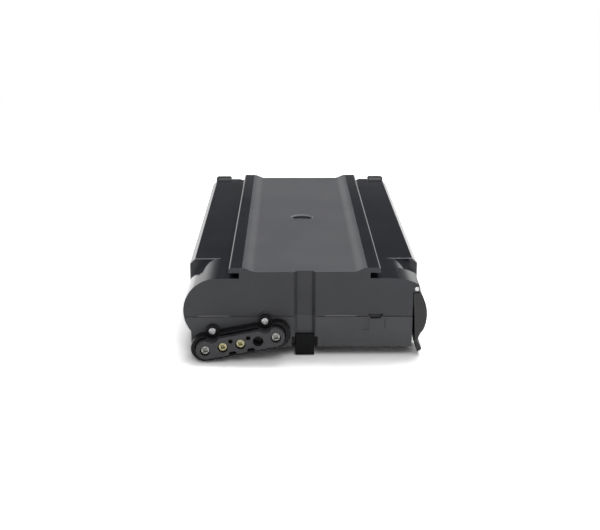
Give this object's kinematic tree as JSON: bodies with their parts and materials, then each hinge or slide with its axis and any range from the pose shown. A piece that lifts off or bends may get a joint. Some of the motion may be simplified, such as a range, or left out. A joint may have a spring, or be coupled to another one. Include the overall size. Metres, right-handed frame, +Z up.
{
  "type": "e-bike battery",
  "caption": "Slim slide-in rack battery: T-rail on top, tilted discharge connector on the front, charge-port flap, corner rails and a folding rear handle.",
  "frame": {"origin": "on the ground under the middle of the part's bounding box", "axes": "+Y from the connector end to the handle end, +Z up through the T-rail, +X towards the charge-port flap"},
  "size_m": [0.1808, 0.379, 0.0689],
  "materials": {
    "shell": "glossy top and shoulders, satin ends",
    "rail": "glossy moulded trim",
    "seal": "soft black seal",
    "steel": "zinc plated",
    "dark_steel": "blackened screw",
    "polished_steel": "polished",
    "brass": "turned brass",
    "foot_rubber": "matte rubber",
    "connector_black": "satin black moulding",
    "connector_grey": "satin grey moulding",
    "gold_contact": "thin gold flash",
    "nickel": "nickel plated",
    "flap": "satin moulding",
    "fuse_glass": "clear tube",
    "holder": "satin moulding",
    "cell": "shrink sleeve over the can",
    "foam": "closed cell foam",
    "board": "solder resist",
    "component": "moulded packages",
    "heat_sink": "extruded",
    "red_lead": "silicone lead",
    "black_lead": "silicone lead",
    "grey_lead": "round gauge cable",
    "lens": "smoked window",
    "button": "soft key",
    "handle": "fine grained moulding",
    "grip_rubber": "soft ribbed sleeve"
  },
  "bodies": {
    "housing": {"upper_shell": "shell", "lower_shell": "shell", "shell_gasket": "seal", "shell_screws": "steel", "corner_rail_left": "rail", "corner_rail_right": "rail", "rear_cover": "shell", "rear_cover_gasket": "seal", "rear_cover_screws": "dark_steel", "latch_screw": "steel", "latch_nut": "brass", "front_foot": "foot_rubber", "rear_feet": "foot_rubber", "connector_housing": "connector_black", "connector_insert": "connector_grey", "connector_gasket": "seal", "connector_screws": "steel", "power_contacts": "gold_contact", "guide_bushes": "nickel", "signal_contacts": "gold_contact", "flap_hinge_pin": "polished_steel", "charge_socket": "connector_black", "fuse_holder": "connector_black", "fuse_cap": "connector_black", "fuse": "fuse_glass", "panel_nuts": "steel", "cell_holder_left_outer": "holder", "cell_holder_left_inner": "holder", "cell_holder_right_inner": "holder", "cell_holder_right_outer": "holder", "cell_group_1": "cell", "cell_group_2": "cell", "cell_group_3": "cell", "cell_group_4": "cell", "cell_group_5": "cell", "cell_group_6": "cell", "cell_group_7": "cell", "cell_group_8": "cell", "cell_group_9": "cell", "cell_group_10": "cell", "cell_group_11": "cell", "cell_group_12": "cell", "cell_group_13": "cell", "strips_left": "nickel", "strips_middle": "nickel", "strips_right": "nickel", "foam_pads": "foam", "bms_board": "board", "bms_parts": "component", "heat_sink": "heat_sink", "battery_leads": "red_lead", "board_leads": "black_lead", "gauge_cable": "grey_lead", "gauge_board": "board", "gauge_lens": "lens", "handle_pivot_screws": "dark_steel"},
    "flap": {"flap": "flap"},
    "handle": {"handle": "handle", "handle_grip": "grip_rubber"},
    "gauge_button": {"gauge_button": "button"}
  },
  "joints": [
    {"name": "flap_hinge", "type": "hinge", "parent": "housing", "child": "flap", "pos_m": [0.0828, -0.16, 0.0526], "axis": [0, -1, 0], "range_deg": [-3, 90]},
    {"name": "handle_pivot", "type": "hinge", "parent": "housing", "child": "handle", "pos_m": [0, 0.1795, 0.0534], "axis": [1, 0, 0], "range_deg": [0, 100]},
    {"name": "button_press", "type": "slide", "parent": "housing", "child": "gauge_button", "axis": [0, -1, 0], "range_m": [0, 0.001], "stiffness_N_per_m": 400}
  ]
}
